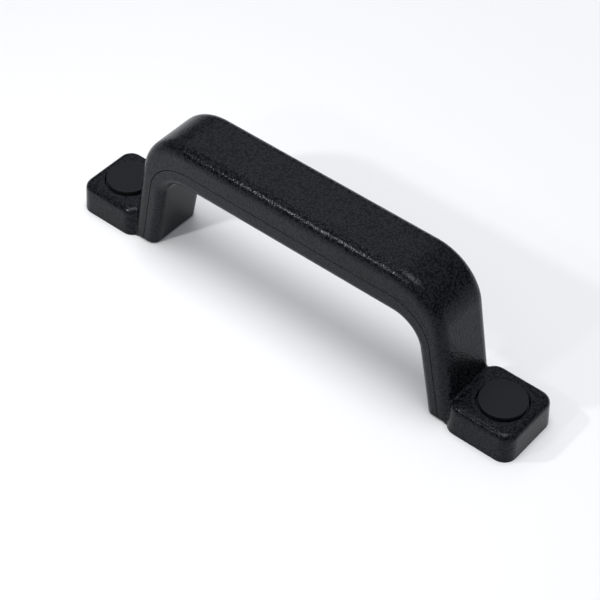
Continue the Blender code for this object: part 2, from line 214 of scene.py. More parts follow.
def loft(name, sections, closed=False):
    """A closed solid through sections that all have the same number of points, or a loop of them."""
    bm = bmesh.new()
    rings = [[bm.verts.new(point) for point in section] for section in sections]
    count = len(rings[0])
    following_rings = rings[1:] + ([rings[0]] if closed else [])
    for ring, following in zip(rings, following_rings):
        for i in range(count):
            j = (i + 1) % count
            bm.faces.new((ring[i], ring[j], following[j], following[i]))
    if not closed:
        bm.faces.new(rings[0])
        bm.faces.new(rings[-1])
    return add_object(name, bm)


def rounded(corners, radius, steps=4):
    """A closed outline of (x, y) points with each corner rounded to radius, or to its own third value."""
    points = []
    count = len(corners)
    for i, corner in enumerate(corners):
        own = corner[2] if len(corner) > 2 else radius
        here = Vector(corner[:2])
        before = Vector(corners[i - 1][:2]) - here
        after = Vector(corners[(i + 1) % count][:2]) - here
        if own == 0:
            points.append(tuple(here))
            continue
        half_angle = before.angle(after) / 2
        limit = min(before.length, after.length) * ROUNDING_LIMIT
        reach = min(own / math.tan(half_angle), limit)
        start, end = here + before.normalized() * reach, here + after.normalized() * reach
        for k in range(steps + 1):
            t = k / steps
            points.append(tuple(start * (1 - t) ** 2 + here * (2 * t * (1 - t)) + end * t ** 2))
    return points


def round_ring(bm, x, radius, z, steps, way=1):
    """A ring of vertices round the upright axis at x, or one repeated vertex on the axis itself."""
    if radius == 0:
        return [bm.verts.new((x, 0, z))] * steps
    turns = [way * math.tau * k / steps for k in range(steps)]
    return [bm.verts.new((x + radius * math.cos(turn), radius * math.sin(turn), z)) for turn in turns]


def bridge(bm, rings):
    """Faces between each ring of vertices and the next. Repeated vertices make triangles."""
    for ring, following in zip(rings, rings[1:]):
        for k, corner in enumerate(ring):
            n = (k + 1) % len(ring)
            corners = dict.fromkeys((corner, ring[n], following[n], following[k]))
            if len(corners) > 2:
                bm.faces.new(tuple(corners))


def turned(name, profile, steps=ROUND_STEPS, x=0.0):
    """A ring or a solid of revolution about an upright axis at x.

    profile is a closed outline of (radius, z) points. A point on the axis becomes one vertex, so a
    profile that starts and ends on the axis is solid.
    """
    bm = bmesh.new()
    rings = [round_ring(bm, x, radius, z, steps) for radius, z in profile]
    if profile[0][0] > 0:
        rings.append(rings[0])
    bridge(bm, rings)
    return add_object(name, bm)


def joined(name, objects):
    """One object that holds all the given ones' meshes side by side."""
    bm = bmesh.new()
    for obj in objects:
        bm.from_mesh(obj.data)
        bpy.data.objects.remove(obj, do_unlink=True)
    return add_object(name, bm)


def rods(places, *levels, steps=SMALL_ROUND_STEPS):
    """Upright stepped cylinders, one at each x in places.

    Each level is (radius, bottom, top), from the lowest up.
    """
    profile = [(0, levels[0][1])]
    for radius, bottom, top in levels:
        profile += [(radius, bottom), (radius, top)]
    profile.append((0, levels[-1][2]))
    return joined("rods", [turned("rod", profile, steps, x) for x in places])


def block(low, high):
    bm = bmesh.new()
    bmesh.ops.create_cube(bm, size=1.0)
    size = Vector(high) - Vector(low)
    middle = (Vector(high) + Vector(low)) / 2
    bm.transform(Matrix.Translation(middle) @ Matrix.Diagonal((*size, 1)))
    return add_object("block", bm)


def mirrored(obj):
    """A copy of obj on the other side of the handle's middle."""
    bm = bmesh.new()
    bm.from_mesh(obj.data)
    bm.transform(Matrix.Scale(-1, 4, (1, 0, 0)))
    return add_object("mirrored", bm)


def shade(obj, mat, weighted=True):
    """Smooth round stretches and crisp corners; flat faces keep their own normals where weighted."""
    obj.data.materials.clear()
    obj.data.materials.append(mat)
    obj.data.shade_smooth()
    obj.data.set_sharp_from_angle(angle=SHARP_ANGLE)
    if weighted:
        step = obj.modifiers.new("weighted_normals", "WEIGHTED_NORMAL")
        step.keep_sharp = True
    return obj


def place(obj, node, body):
    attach(obj, body)
    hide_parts(node)
    return obj


# ---------------------------------------------------------------- the handle's side view

def leg_line(base_x, lean, top_z, bend, base_z=LEG_BASE_Z):
    """Points (x, z) up the right leg's line from base_z and round its bend, which ends flat at top_z."""
    centre_z = top_z - bend
    centre_x = base_x - centre_z * math.tan(lean) - bend / math.cos(lean)
    points = [(base_x - z * math.tan(lean), z) for z in (base_z, FOOT_HEIGHT)]
    for k in range(BEND_STEPS):
        turn = lean + (math.pi / 2 - lean) * k / (BEND_STEPS - 1)
        points.append((centre_x + bend * math.cos(turn), centre_z + bend * math.sin(turn)))
    return points


def whole(points):
    """The right half's points and their mirror image, from the right foot over to the left foot."""
    return points + [(-x, z) for x, z in reversed(points)]


def outer_line(base_z=LEG_BASE_Z):
    return whole(leg_line(LEG_OUTER_X, OUTER_LEAN, GRIP_HEIGHT, OUTER_BEND, base_z))


def inner_line():
    return whole(leg_line(LEG_INNER_X, INNER_LEAN, GRIP_BOTTOM, INNER_BEND))


def seam_line(inset=0.0, base_z=LEG_BASE_Z):
    """The joint's line, or a line that lies inset from it on the insert's side."""
    base_x = LEG_INNER_X + (SEAM_LEG_DEPTH - inset) / math.cos(INNER_LEAN)
    top_z = GRIP_BOTTOM + SEAM_GRIP_DEPTH - inset
    return whole(leg_line(base_x, INNER_LEAN, top_z, SEAM_BEND - inset, base_z))


def half_widths():
    """Half the moulding's width at each station: the leg widens a little from its base up to the bend."""
    base, full = LEG_BASE_HALF_WIDTH, GRIP_HALF_WIDTH
    near_foot = base + (full - base) * FOOT_HEIGHT / (GRIP_HEIGHT - OUTER_BEND)
    half = [base, near_foot] + [full] * BEND_STEPS
    return half + half[::-1]


def frame_points(root, far, flat):
    """Points (y, depth) of a section, placed in the plane from root towards far."""
    root, far = Vector((root[0], 0, root[1])), Vector((far[0], 0, far[1]))
    outward = (far - root).normalized()
    return [root + outward * t + Vector((0, y, 0)) for y, t in flat]


def bar_section(root, far, half_width, edge_radius):
    """A solid bar's section: square at root, with rounded edges at far."""
    depth = math.dist(root, far)
    centre_y, centre_t = half_width - edge_radius, depth - edge_radius
    half = [(half_width, 0.0)]
    for k in range(EDGE_STEPS + 1):
        turn = math.pi / 2 * k / EDGE_STEPS
        half.append((centre_y + edge_radius * math.cos(turn), centre_t + edge_radius * math.sin(turn)))
    return frame_points(root, far, half + [(-y, t) for y, t in reversed(half)])


def groove_section(root, far, half_width, wall, floor):
    """The hollow of a U-shaped section whose floor's outside is at far."""
    groove, depth = half_width - wall, math.dist(root, far) - floor
    return frame_points(root, far, [(-groove, 0.0), (-groove, depth), (groove, depth), (groove, 0.0)])


# ---------------------------------------------------------------- cover

def foot_ring(inset, z):
    """The foot's rounded plan outline at height z, drawn in by inset all round."""
    low_x, high_x = FOOT_INNER_X + inset, FOOT_END_X - inset
    half_y = FOOT_HALF_WIDTH - inset
    radius = FOOT_CORNER - inset * CORNER_DRAFT_SHARE
    corners = ((high_x - radius, half_y - radius), (low_x + radius, half_y - radius),
               (low_x + radius, radius - half_y), (high_x - radius, radius - half_y))
    points = []
    for quarter, (x, y) in enumerate(corners):
        for k in range(CORNER_STEPS + 1):
            turn = math.pi / 2 * (quarter + k / CORNER_STEPS)
            points.append((x + radius * math.cos(turn), y + radius * math.sin(turn), z))
    return points


def foot_block():
    """The right foot's outside: slightly drafted sides and a rounded top edge."""
    side_top = FOOT_HEIGHT - FOOT_TOP_EDGE
    drawn_in = side_top * math.tan(FOOT_DRAFT)
    rings = [foot_ring(-SKIN_SPARE * math.tan(FOOT_DRAFT), -SKIN_SPARE)]
    for k in range(EDGE_STEPS + 1):
        turn = math.pi / 2 * k / EDGE_STEPS
        inset = drawn_in + FOOT_TOP_EDGE * (1 - math.cos(turn))
        rings.append(foot_ring(inset, side_top + FOOT_TOP_EDGE * math.sin(turn)))
    return loft("foot", rings)


def moulded_skin():
    """The cover's whole outside as one skin, with the small fillets a mould has where leg meets foot."""
    lines = zip(seam_line(SEAM_MARGIN, -SKIN_SPARE), outer_line(-SKIN_SPARE), half_widths())
    sections = [bar_section(root, far, half_width, OUTER_EDGE_RADIUS) for root, far, half_width in lines]
    foot = foot_block()
    skin = joined("cover_moulding", [loft("bar", sections), mirrored(foot), foot])
    grid = skin.modifiers.new("grid", "REMESH")
    grid.mode = "VOXEL"
    grid.voxel_size = SKIN_GRID
    soften = skin.modifiers.new("soften", "SMOOTH")
    soften.factor = SKIN_SOFTENING
    soften.iterations = SKIN_PASSES
    return apply_modifiers(skin)


def finger_side():
    """Everything on the finger side of the joint's line, to be cut from the cover."""
    line = seam_line()
    below = -CUTTER_REACH
    outline = [(line[0][0], below)] + line + [(line[-1][0], below)]
    reach = FOOT_HALF_WIDTH + CUTTER_REACH
    return loft("finger_side", [[(x, y, z) for x, z in outline] for y in (-reach, reach)])


def underside():
    """Everything below the feet and the legs' ends, cut from the cover so that its base is crisp."""
    end_x, reach = FOOT_END_X + CUTTER_REACH, FOOT_HALF_WIDTH + CUTTER_REACH
    door = block((-end_x, -reach, -CUTTER_REACH), (end_x, reach, 0))
    deeper = -CUTTER_REACH - GAP
    between_feet = block((-FOOT_INNER_X, -reach, deeper), (FOOT_INNER_X, reach, LEG_BASE_Z))
    return combine(door, "UNION", between_feet)


def cap_hole():
    """The hole round the right cap, with a softened lip."""
    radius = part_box("screw_cap_right")[1].x - SCREW_X + CAP_CLEARANCE
    profile = [(0, FOOT_WALL), (radius, FOOT_WALL), (radius, FOOT_HEIGHT - HOLE_LIP)]
    for k in range(1, EDGE_STEPS + 1):
        turn = math.pi / 2 * k / EDGE_STEPS
        wider, lower = HOLE_LIP * (1 - math.cos(turn)), HOLE_LIP * (1 - math.sin(turn))
        profile.append((radius + wider, FOOT_HEIGHT - lower))
    above = FOOT_HEIGHT + CUTTER_REACH
    profile += [(radius + HOLE_LIP, above), (0, above)]
    return turned("cap_hole", profile, ROUND_STEPS, SCREW_X)


def cover_moulding(mat):
    """The upper moulding: grip top and sides, the legs' outer faces and both hollow feet."""
    cover = moulded_skin()
    lines = zip(seam_line(SEAM_MARGIN * 2), outer_line(), half_widths())
    groove = loft("groove", [groove_section(*line, COVER_WALL, COVER_WALL) for line in lines])
    half_y = LEG_BASE_HALF_WIDTH - COVER_WALL
    under_roof = FOOT_HEIGHT - FOOT_ROOF
    room = block((LEG_INNER_X, -half_y, -GAP), (FOOT_INNER_X + LEG_ROOM, half_y, under_roof))
    end_x, pocket_y = FOOT_END_X - FOOT_WALL, FOOT_HALF_WIDTH - FOOT_WALL
    pocket = block((FOOT_INNER_X + FOOT_WALL, -pocket_y, -GAP), (end_x, pocket_y, under_roof))
    combine(room, "UNION", pocket, cap_hole())
    combine(groove, "UNION", mirrored(room), room)
    combine(cover, "DIFFERENCE", underside(), finger_side(), groove, solver="MANIFOLD")

    ceiling = GRIP_HEIGHT - COVER_WALL
    bosses = (BOSS_RADIUS, ceiling - BOSS_LENGTH, ceiling + GAP)
    pilots = (SHELL_SCREW_RADIUS + GAP, GRIP_BOTTOM, GRIP_HEIGHT - PILOT_ROOF)
    combine(cover, "UNION", rods(SHELL_SCREW_X, bosses), solver="MANIFOLD")
    combine(cover, "DIFFERENCE", rods(SHELL_SCREW_X, pilots), solver="MANIFOLD")
    shade(cover, mat, weighted=False)
    return place(cover, "grip_cover", "handle")


# ---------------------------------------------------------------- insert and strap

def lipped_groove(root, far, half_width):
    """The insert's hollow. Its walls carry a lip that stands inside the cover and closes the joint."""
    lip, depth = half_width - COVER_WALL - GAP, math.dist(root, far) - INSERT_FLOOR
    inner = lip - LIP_WALL
    half = [(inner, depth), (inner, -LIP_HEIGHT), (lip, -LIP_HEIGHT), (lip, 0.0)]
    return frame_points(root, far, [(-y, t) for y, t in reversed(half)] + half)


def insert_moulding(mat):
    """The lower moulding that closes the grip and the legs on the finger side, with its screw towers."""
    sections = []
    for root, far, half_width in zip(seam_line(GAP), inner_line(), half_widths()):
        outside = bar_section(root, far, half_width, INNER_EDGE_RADIUS)
        sections.append(outside + lipped_groove(root, far, half_width))
    insert = loft("insert_moulding", sections)
    strap_under = GRIP_HEIGHT - COVER_WALL - GAP - STRAP_THICK
    boss_end = GRIP_HEIGHT - COVER_WALL - BOSS_LENGTH
    head_seat = GRIP_BOTTOM + SHELL_HEAD_SUNK + SHELL_HEAD_HEIGHT + GAP
    combine(insert, "UNION", rods(SHELL_SCREW_X, (TOWER_RADIUS, GRIP_BOTTOM + GAP, strap_under - GAP)))
    sunk_head = (SHELL_HEAD_RADIUS + GAP, FOOT_HEIGHT, head_seat)
    shank = (SHELL_SCREW_RADIUS + GAP, head_seat, boss_end - GAP)
    boss = (BOSS_RADIUS + GAP, boss_end - GAP, GRIP_HEIGHT)
    combine(insert, "DIFFERENCE", rods(SHELL_SCREW_X, sunk_head, shank, boss))
    shade(insert, mat)
    return place(insert, "grip_insert", "handle")


def strap_path():
    """The strap's centre line: along one foot, up the leg, over the grip and down to the other foot."""
    inset = COVER_WALL + GAP + STRAP_THICK / 2
    base_x = LEG_OUTER_X - inset / math.cos(OUTER_LEAN)
    leg = leg_line(base_x, OUTER_LEAN, GRIP_HEIGHT - inset, OUTER_BEND - inset)
    foot_z = STRAP_LIFT + STRAP_THICK / 2
    centre_z = foot_z + STRAP_FOOT_BEND
    centre_x = base_x - centre_z * math.tan(OUTER_LEAN) + STRAP_FOOT_BEND / math.cos(OUTER_LEAN)
    points = [(SCREW_X + STRAP_END_MARGIN, foot_z)]
    for k in range(BEND_STEPS):
        turn = math.pi / 2 - (math.pi / 2 - OUTER_LEAN) * k / (BEND_STEPS - 1)
        x = centre_x - STRAP_FOOT_BEND * math.cos(turn)
        z = centre_z - STRAP_FOOT_BEND * math.sin(turn)
        points.append((x, z))
    return [Vector((x, 0, z)) for x, z in whole(points + leg[2:])]


def mitre(points, k):
    """The strap's own upward direction at point k of its path, lengthened where the path bends."""
    leaving = (points[k + 1] - points[k]).normalized() if k < len(points) - 1 else None
    arriving = (points[k] - points[k - 1]).normalized() if k else leaving
    leaving = leaving or arriving
    along = (arriving + leaving).normalized()
    return Vector((-along.z, 0, along.x)) / along.dot(leaving)


def steel_strap(mat):
    """The bent spring-steel strap with rolled edges, its screw holes and its clearance holes."""
    half_y, half_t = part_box("core_strap")[1].y, STRAP_THICK / 2
    corners = [(half_y, half_t), (-half_y, half_t), (-half_y, -half_t), (half_y, -half_t)]
    outline = rounded(corners, STRAP_EDGE)
    points = strap_path()
    sections = []
    for k, point in enumerate(points):
        across = mitre(points, k)
        sections.append([point + across * t + Vector((0, y, 0)) for y, t in outline])
    strap = loft("steel_strap", sections)
    boss_holes = (BOSS_RADIUS + GAP, GRIP_BOTTOM, GRIP_HEIGHT)
    screw_holes = (SCREW_RADIUS + GAP, -FOOT_HEIGHT, FOOT_HEIGHT)
    combine(strap, "DIFFERENCE", rods(SHELL_SCREW_X, boss_holes))
    combine(strap, "DIFFERENCE", rods((-SCREW_X, SCREW_X), screw_holes))
    shade(strap, mat)
    return place(strap, "core_strap", "handle")


# ---------------------------------------------------------------- screw stack

def span(node):
    """A round CAD node's axis x, radius, bottom and top."""
    low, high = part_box(node)
    return (low.x + high.x) / 2, (high.y - low.y) / 2, low.z, high.z


def screw_cap(side, mat):
    """A flat disc with a softened rim, on a slotted skirt with a snap bead."""
    x, radius, low, top = span(f"screw_cap_{side}")
    under = top - CAP_DISC
    inner, skirt = CAP_SKIRT_RADIUS - CAP_SKIRT_WALL, CAP_SKIRT_RADIUS
    bead = low + CAP_BEAD_HEIGHT
    corners = [(0, top, 0), (radius, top, CAP_RIM), (radius, under), (skirt, under),
               (skirt, bead + CAP_BEAD_RISE), (skirt + CAP_BEAD, bead),
               (skirt - CAP_BEAD, low), (inner, low), (inner, under), (0, under, 0)]
    cap = turned(f"cap_{side}", rounded(corners, FINE_EDGE, CAP_EDGE_STEPS), ROUND_STEPS, x)
    slot_top = under - CAP_SLOT_ROOF
    reach = radius + CUTTER_REACH
    bar = block((x - reach, -CAP_SLOT / 2, low - GAP), (x + reach, CAP_SLOT / 2, slot_top))
    cross = block((x - CAP_SLOT / 2, -reach, low - GAP), (x + CAP_SLOT / 2, reach, slot_top))
    combine(cap, "DIFFERENCE", combine(bar, "UNION", cross))
    shade(cap, mat)
    return place(cap, f"screw_cap_{side}", f"cap_{side}")


def cap_seat(side, mat):
    """The cup under the screw's washer that holds the cap."""
    x, outer, low, rim = span(f"cap_seat_{side}")
    bore, inner = SCREW_RADIUS + 2 * GAP, outer - SEAT_WALL
    floor = low + SEAT_FLOOR
    corners = [(bore, low), (outer, low), (outer, rim), (inner, rim), (inner, floor), (bore, floor)]
    seat = turned(f"seat_{side}", rounded(corners, FINE_EDGE), ROUND_STEPS, x)
    shade(seat, mat)
    return place(seat, f"cap_seat_{side}", "handle")


def plain_washer(side, mat):
    x, outer, low, high = span(f"plain_washer_{side}")
    bore = SCREW_RADIUS + GAP
    corners = [(bore, low), (outer, low), (outer, high, WASHER_EDGE), (bore, high, WASHER_EDGE)]
    washer = turned(f"washer_{side}", rounded(corners, FINE_EDGE), ROUND_STEPS, x)
    shade(washer, mat)
    return place(washer, f"plain_washer_{side}", "handle")


def lock_washer(side, mat):
    """A split spring ring that rises a little from one end to the other."""
    x, outer, low, high = span(f"lock_washer_{side}")
    bore, flat_top = SCREW_RADIUS + GAP, high - LOCK_RISE
    corners = [(bore, low), (outer, low), (outer, flat_top), (bore, flat_top)]
    outline = rounded(corners, FINE_EDGE)
    sections = []
    for k in range(ROUND_STEPS + 1):
        turn = LOCK_SLIT / 2 + (math.tau - LOCK_SLIT) * k / ROUND_STEPS
        across, rise = Vector((math.cos(turn), math.sin(turn), 0)), LOCK_RISE * k / ROUND_STEPS
        sections.append([Vector((x, 0, z + rise)) + across * radius for radius, z in outline])
    ring = loft(f"spring_washer_{side}", sections)
    shade(ring, mat)
    return place(ring, f"lock_washer_{side}", "handle")


def thread_radius(along, turned_by, length, core, depth, pitch):
    """The thread's radius at a distance from the tip, turned_by (in whole turns) round the screw.

    The thread fades out over its last turn, and the whole screw shrinks towards its tip.
    """
    taper = min(1.0, TIP_SHARE + (1 - TIP_SHARE) * along / (TIP_TURNS * pitch))
    fade = min(1.0, (length - along) / pitch)
    crest = 1 - abs(2 * ((along / pitch - turned_by) % 1.0) - 1)
    return (core + depth * min(1.0, crest * CREST_FLAT) * fade) * taper


def threaded(name, x, head, tip_z, thread_top, core, depth, pitch):
    """A screw: a helical thread from its tip to thread_top, then the head's (radius, z) profile."""
    steps = SMALL_ROUND_STEPS
    way = 1 if thread_top > tip_z else -1
    length = abs(thread_top - tip_z)
    rows = int(length / pitch * THREAD_STEPS)
    bm = bmesh.new()
    rings = [round_ring(bm, x, 0, tip_z, steps)]
    for row in range(rows + 1):
        along = length * row / rows
        ring = []
        for k in range(steps):
            radius = thread_radius(along, k / steps, length, core, depth, pitch)
            turn = way * math.tau * k / steps
            spot = (x + radius * math.cos(turn), radius * math.sin(turn), tip_z + along * way)
            ring.append(bm.verts.new(spot))
        rings.append(ring)
    rings += [round_ring(bm, x, radius, z, steps, way) for radius, z in head]
    bridge(bm, rings)
    return add_object(name, bm)


def recess_bar(x, face_z, arm, depth, width, turn):
    """One bar of a cross recess, narrower at its bottom. depth < 0 cuts upwards."""
    bm = bmesh.new()
    bmesh.ops.create_cube(bm, size=1.0)
    for vert in bm.verts:
        deep = (vert.co.z < 0) == (depth > 0)
        vert.co.x *= 2 * arm * (RECESS_TIP_LENGTH if deep else 1.0)
        vert.co.y *= width * (RECESS_TIP_WIDTH if deep else 1.0)
        vert.co.z = -depth if deep else depth * RECESS_OVERCUT
    bm.transform(Matrix.Translation((x, 0, face_z)) @ Matrix.Rotation(turn, 4, "Z"))
    return add_object("recess", bm)


def cross_recess(x, face_z, head, depth, width):
    """A cross-shaped cutter for a screw's drive, set on the head's face. depth < 0 cuts upwards."""
    arm = head * RECESS_REACH
    first = recess_bar(x, face_z, arm, depth, width, 0.0)
    return combine(first, "UNION", recess_bar(x, face_z, arm, depth, width, math.pi / 2))


def mounting_screw(side, mat):
    """A domed pan-head machine screw, seated on its washers, that runs on into the door."""
    x, head, tip, top = span(f"mounting_screw_{side}")
    seat = top - SCREW_HEAD_HEIGHT
    shoulder = seat + SCREW_HEAD_HEIGHT * SCREW_HEAD_STRAIGHT
    profile = rounded([(SCREW_RADIUS, seat, 0), (head, seat, FINE_EDGE), (head, shoulder),
                       (head * SCREW_HEAD_CROWN, top), (0, top, 0)], SCREW_HEAD_ROUND)
    screw = threaded(f"door_screw_{side}", x, profile, tip, seat - SCREW_UNDERCUT,
                     SCREW_RADIUS - SCREW_THREAD, SCREW_THREAD, SCREW_PITCH)
    combine(screw, "DIFFERENCE", cross_recess(x, top, head, SCREW_RECESS_DEPTH, SCREW_RECESS_WIDTH))
    shade(screw, mat)
    return place(screw, f"mounting_screw_{side}", "handle")


def shell_screw(number, mat):
    """A small self-tapping screw, head down in the insert, threaded into the cover's boss."""
    x, head, low, tip = span(f"shell_screw_{number}")
    seat = low + SHELL_HEAD_HEIGHT
    shoulder = low + SHELL_HEAD_HEIGHT * SHELL_HEAD_STRAIGHT
    profile = rounded([(SHELL_SCREW_RADIUS, seat, 0), (head, seat, FINE_EDGE), (head, shoulder),
                       (head * SHELL_HEAD_CROWN, low), (0, low, 0)], SHELL_HEAD_ROUND)
    screw = threaded(f"case_screw_{number}", x, profile, tip, seat + SHELL_UNDERCUT,
                     SHELL_SCREW_RADIUS - SHELL_THREAD, SHELL_THREAD, SHELL_PITCH)
    combine(screw, "DIFFERENCE", cross_recess(x, low, head, -SHELL_RECESS_DEPTH, SHELL_RECESS_WIDTH))
    shade(screw, mat)
    return place(screw, f"shell_screw_{number}", "handle")


# ---------------------------------------------------------------- materials

# Pebble grain: its cells, their bent borders, their height, and the tones of its valleys and tops, which
# are painted shade in the valleys and a painted sheen on the tops
GRAIN_CELL = 0.88 * MM
SMALL_GRAIN_CELL = 0.5 * MM
SMALL_GRAIN_SHARE = 0.35
BORDER_BEND = 0.9
BORDER_BEND_SCALE = 0.7
PEBBLE_PEAK = 0.7
PEBBLE_SMOOTHNESS = 0.08
GRAIN_RELIEF = 0.07 * MM
GRAIN_VALLEY_PAINTED_SHADE = (0.0010, 0.0011, 0.0014)
GRAIN_TOP_SHEEN_AND_WEAR = (0.0115, 0.0121, 0.0138)

# Metal: how much brighter its edges are, and how the streaks' texture is scaled along x, y and z
METAL_EDGE_GAIN = 1.25
STREAKS_ALONG_X = (0.05, 1.0, 1.0)
STREAKS_ALONG_Z = (1.0, 1.0, 0.3)


def node(tree, kind, inputs=None, **settings):
    """Adds a node. An input is a value, or the output socket that feeds it."""
    made = tree.nodes.new(kind)
    for key, value in settings.items():
        setattr(made, key, value)
    for name, value in (inputs or {}).items():
        if isinstance(value, bpy.types.NodeSocket):
            tree.links.new(value, made.inputs[name])
        else:
            made.inputs[name].default_value = value
    return made


def noise(tree, coords, scale, detail=2.0, roughness=0.5):
    inputs = {"Vector": coords, "Scale": scale, "Detail": detail, "Roughness": roughness}
    return node(tree, "ShaderNodeTexNoise", inputs).outputs["Fac"]


def remap(tree, value, low, high, to_low=0.0, to_high=1.0, kind="LINEAR"):
    inputs = {"Value": value, "From Min": low, "From Max": high, "To Min": to_low, "To Max": to_high}
    return node(tree, "ShaderNodeMapRange", inputs, interpolation_type=kind).outputs["Result"]


def maths(tree, operation, a, b=0.0):
    made = node(tree, "ShaderNodeMath", {0: a, 1: b}, operation=operation)
    return made.outputs[0]


def blend_colours(tree, factor, dark, light):
    made = node(tree, "ShaderNodeMix", {0: factor}, data_type="RGBA")
    for socket, value in ((made.inputs[6], dark), (made.inputs[7], light)):
        if isinstance(value, bpy.types.NodeSocket):
            tree.links.new(value, socket)
        else:
            socket.default_value = (*value, 1.0)
    return made.outputs[2]


def start_material(name, metallic=0.0, specular=0.5, tint=WHITE):
    """A material with its node tree, its shader and the coordinates its textures are laid out in."""
    mat = bpy.data.materials.new(name)
    mat.use_nodes = True
    tree = mat.node_tree
    shader = tree.nodes["Principled BSDF"]
    shader.inputs["Metallic"].default_value = metallic
    shader.inputs["Specular IOR Level"].default_value = specular
    shader.inputs["Specular Tint"].default_value = (*tint, 1.0)
    coords = tree.nodes.new("ShaderNodeTexCoord").outputs["Object"]
    return mat, tree, shader, coords


def feed(tree, shader, **sockets):
    """Links each socket to the shader's input of that name, with _ for a space."""
    for name, socket in sockets.items():
        tree.links.new(socket, shader.inputs[name.replace("_", " ")])


def raised(tree, height, strength, distance):
    """The surface's direction where height raises it by up to distance."""
    inputs = {"Height": height, "Strength": strength, "Distance": distance}
    return node(tree, "ShaderNodeBump", inputs).outputs["Normal"]


def worn_edges(tree, low, high):
    """0 on flat stretches, up to 1 along outward edges that hands and tools rub."""
    return remap(tree, node(tree, "ShaderNodeNewGeometry").outputs["Pointiness"], low, high)


def polished(tree, roughness, worn, amount):
    """The roughness, less up to amount where the surface is worn."""
    return maths(tree, "SUBTRACT", roughness, maths(tree, "MULTIPLY", worn, amount))


def leather_grain(tree, coords, cell):
    """Height of a moulded pebble grain: domed cells of about the given size, on slightly bent borders."""
    bend_inputs = {"Vector": coords, "Scale": BORDER_BEND_SCALE / cell, "Detail": 1.0}
    bend = node(tree, "ShaderNodeTexNoise", bend_inputs).outputs["Color"]
    centred = node(tree, "ShaderNodeVectorMath", {0: bend, 1: (0.5, 0.5, 0.5)}, operation="SUBTRACT")
    warp_inputs = {0: centred.outputs[0], 1: (cell * BORDER_BEND,) * 3, 2: coords}
    warped = node(tree, "ShaderNodeVectorMath", warp_inputs, operation="MULTIPLY_ADD")
    cell_inputs = {"Vector": warped.outputs[0], "Scale": 1 / cell, "Smoothness": PEBBLE_SMOOTHNESS}
    pebbles = node(tree, "ShaderNodeTexVoronoi", cell_inputs, feature="SMOOTH_F1")
    return maths(tree, "SUBTRACT", PEBBLE_PEAK, pebbles.outputs["Distance"])


def grained_plastic(name, roughness):
    """Near-black moulded plastic: a pebble grain with painted shade in its valleys and a painted sheen on
    its tops, and polished edges that are lighter where worn.
    """
    mat, tree, shader, coords = start_material(name, specular=0.14, tint=(0.84, 0.89, 1.0))
    patches = noise(tree, coords, scale=90.0)
    strength = remap(tree, patches, 0.3, 0.7, to_low=0.85, to_high=1.1)
    pebbles = maths(tree, "MULTIPLY", leather_grain(tree, coords, GRAIN_CELL), strength)
    small = maths(tree, "MULTIPLY", leather_grain(tree, coords, SMALL_GRAIN_CELL), SMALL_GRAIN_SHARE)
    height = maths(tree, "ADD", pebbles, small)

    worn = worn_edges(tree, 0.505, 0.56)
    # The grain's colour is partly painted light: painted shade darkens its valleys and a painted sheen
    # lightens its tops; worn edges take the same light tone.
    grain_tone_and_painted_shade = blend_colours(tree, remap(tree, height, 0.05, 0.45), GRAIN_VALLEY_PAINTED_SHADE, GRAIN_TOP_SHEEN_AND_WEAR)
    matt = remap(tree, noise(tree, coords, scale=160.0, detail=3.0), 0.3, 0.7,
                 to_low=roughness - 0.01, to_high=roughness + 0.02)
    feed(tree, shader,
         Normal=raised(tree, height, 1.0, GRAIN_RELIEF),
         Base_Color=blend_colours(tree, maths(tree, "MULTIPLY", worn, 0.3), grain_tone_and_painted_shade, GRAIN_TOP_SHEEN_AND_WEAR),
         Roughness=polished(tree, matt, worn, 0.04))
    return mat


def cap_plastic(name):
    """Matt black plastic with a fine spark-eroded texture."""
    mat, tree, shader, coords = start_material(name, specular=0.17, tint=(0.86, 0.92, 1.0))
    fine = noise(tree, coords, scale=4200.0, detail=3.0, roughness=0.6)
    cloud = noise(tree, coords, scale=180.0, detail=3.0)
    feed(tree, shader,
         Normal=raised(tree, fine, 0.5, 0.03 * MM),
         Base_Color=blend_colours(tree, cloud, (0.0070, 0.0075, 0.0088), (0.0090, 0.0096, 0.0110)),
         Roughness=remap(tree, cloud, 0.3, 0.7, to_low=0.46, to_high=0.54))
    return mat


def seat_plastic(name):
    """Smooth black nylon, a little cloudy."""
    mat, tree, shader, coords = start_material(name, specular=0.4)
    cloud = noise(tree, coords, scale=400.0, detail=3.0)
    feed(tree, shader,
         Normal=raised(tree, cloud, 0.3, 0.04 * MM),
         Base_Color=blend_colours(tree, cloud, (0.008, 0.008, 0.009), (0.014, 0.014, 0.015)),
         Roughness=remap(tree, cloud, 0.3, 0.7, to_low=0.35, to_high=0.5))
    return mat


def metal(name, dark, light, roughness, streaks):
    """Steel with a cloudy tone, polished edges and fine streaks along one axis."""
    mat, tree, shader, coords = start_material(name, metallic=1.0)
    stretched = node(tree, "ShaderNodeVectorMath", {0: coords, 1: streaks}, operation="MULTIPLY")
    brushed = noise(tree, stretched.outputs[0], scale=1500.0, detail=3.0, roughness=0.6)
    cloud = noise(tree, coords, scale=250.0, detail=4.0)
    worn = worn_edges(tree, 0.52, 0.6)
    bright = tuple(min(1.0, c * METAL_EDGE_GAIN) for c in light)
    matt = remap(tree, brushed, 0.25, 0.75, to_low=roughness - 0.06, to_high=roughness + 0.10)
    feed(tree, shader,
         Normal=raised(tree, brushed, 0.35, 0.02 * MM),
         Base_Color=blend_colours(tree, worn, blend_colours(tree, cloud, dark, light), bright),
         Roughness=polished(tree, matt, worn, 0.08))
    return mat


# ---------------------------------------------------------------- studio

CAMERA_AZIMUTH = math.radians(38.47)
CAMERA_ELEVATION = math.radians(45.56)
CAMERA_ROLL = math.radians(1.43)
CAMERA_DISTANCE = 692.1 * MM
CAMERA_AIM = Vector((0, 0, 20.8 * MM))
CAMERA_SLIDE = (-2.37 * MM, -11.86 * MM)
CAMERA_LENS = 113.83
CAMERA_SENSOR = 36.0

